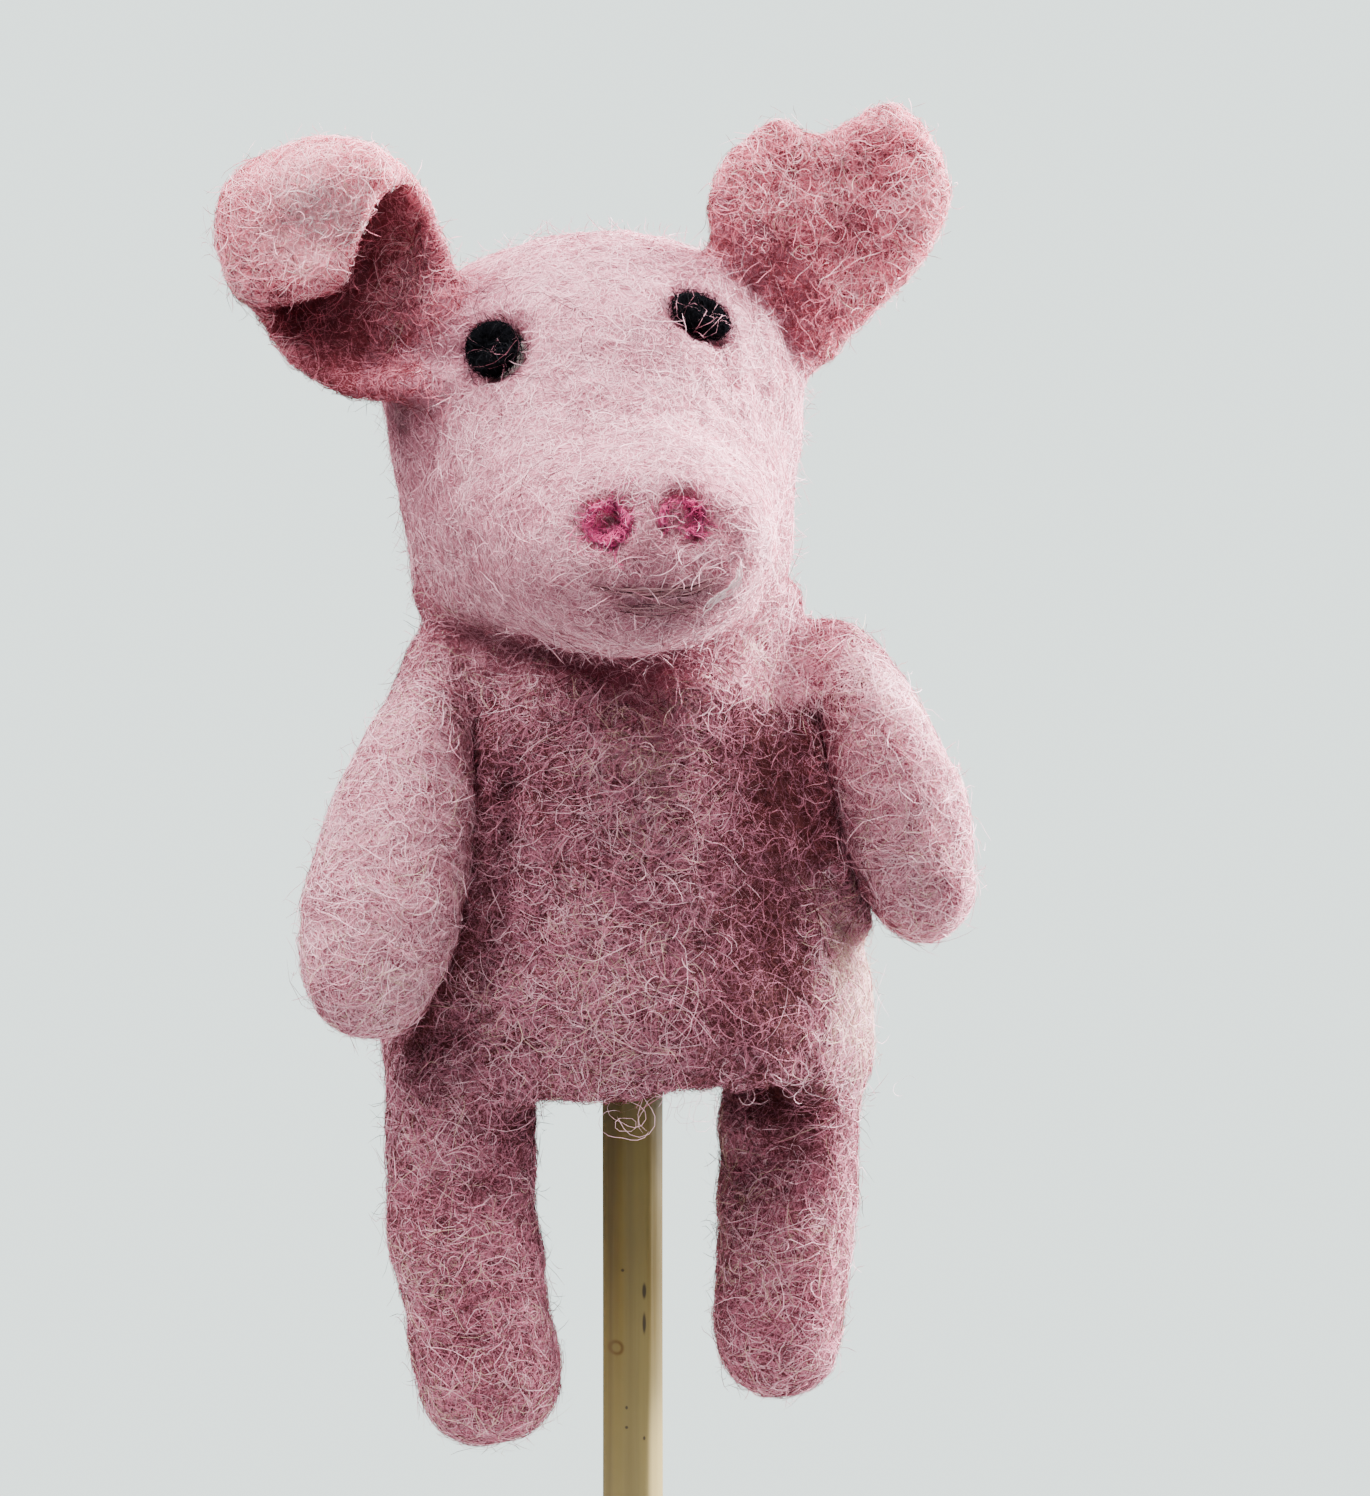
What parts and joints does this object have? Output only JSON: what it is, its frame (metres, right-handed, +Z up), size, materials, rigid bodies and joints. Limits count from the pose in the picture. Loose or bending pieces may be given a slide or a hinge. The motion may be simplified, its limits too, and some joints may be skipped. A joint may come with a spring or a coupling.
{
  "type": "felt finger puppet on a stick",
  "caption": "Needle-felted pig finger puppet with a hollow sleeve body, soft head, ears, arms and legs, standing on a plain bamboo stick.",
  "frame": {"origin": "centre of the flat lower end of the stick", "axes": "+Z up the stick, the pig faces -Y, +X towards the pig's left"},
  "size_m": [0.0605, 0.0424, 0.1416],
  "materials": {
    "bamboo": "satin",
    "pink_wool": "matte",
    "mauve_wool": "matte",
    "rose_wool": "matte",
    "white_wool": "matte",
    "black_wool": "matte",
    "magenta_wool": "matte",
    "umber_wool": "matte"
  },
  "bodies": {
    "stick": {"stick": "bamboo"},
    "torso": {"body_sleeve": "mauve_wool"},
    "neck": {"neck_join": "white_wool"},
    "head": {"head": "pink_wool", "head_core": "white_wool", "snout": "pink_wool", "eye_left": "black_wool", "eye_right": "black_wool", "nostril_left": "magenta_wool", "nostril_right": "magenta_wool", "mouth_strand_upper": "umber_wool", "mouth_strand_lower": "umber_wool", "mouth_corner_strand": "white_wool"},
    "ear_left": {"ear_left": "rose_wool"},
    "ear_right": {"ear_right": "rose_wool"},
    "arm_left": {"arm_left": "pink_wool"},
    "arm_right": {"arm_right": "pink_wool"},
    "leg_left": {"leg_left": "mauve_wool"},
    "leg_right": {"leg_right": "mauve_wool"}
  },
  "joints": [
    {"name": "stick_slide", "type": "slide", "parent": "stick", "child": "torso", "axis": [0, 0, 1], "range_m": [0, 0.075]},
    {"name": "neck_turn", "type": "hinge", "parent": "torso", "child": "neck", "pos_m": [0, 0, 0.098], "axis": [0, 0, 1], "range_deg": [-20, 20], "stiffness_Nm_per_rad": 0.01},
    {"name": "head_nod", "type": "hinge", "parent": "neck", "child": "head", "pos_m": [0, 0, 0.098], "axis": [1, 0, 0], "range_deg": [-12, 8], "stiffness_Nm_per_rad": 0.02},
    {"name": "ear_left_flex", "type": "hinge", "parent": "head", "child": "ear_left", "pos_m": [0.0096, -0.0068, 0.1254], "axis": [0.6402, 0, -0.7682], "range_deg": [-15, 15], "stiffness_Nm_per_rad": 0.002},
    {"name": "ear_right_flex", "type": "hinge", "parent": "head", "child": "ear_right", "pos_m": [-0.0165, -0.0066, 0.1245], "axis": [0.15, 0, 0.9887], "range_deg": [-15, 15], "stiffness_Nm_per_rad": 0.002},
    {"name": "arm_left_raise", "type": "hinge", "parent": "torso", "child": "arm_left", "pos_m": [0.016, -0.0016, 0.0968], "axis": [0, -1, 0], "range_deg": [0, 60], "stiffness_Nm_per_rad": 0.004},
    {"name": "arm_right_raise", "type": "hinge", "parent": "torso", "child": "arm_right", "pos_m": [-0.0159, -0.0032, 0.0962], "axis": [0, 1, 0], "range_deg": [0, 60], "stiffness_Nm_per_rad": 0.004},
    {"name": "leg_left_swing", "type": "hinge", "parent": "torso", "child": "leg_left", "pos_m": [0.0124, -0.0022, 0.0596], "axis": [-1, 0, 0], "range_deg": [-15, 45], "stiffness_Nm_per_rad": 0.004},
    {"name": "leg_right_swing", "type": "hinge", "parent": "torso", "child": "leg_right", "pos_m": [-0.0144, -0.006, 0.0587], "axis": [-1, 0, 0], "range_deg": [-15, 45], "stiffness_Nm_per_rad": 0.004}
  ]
}
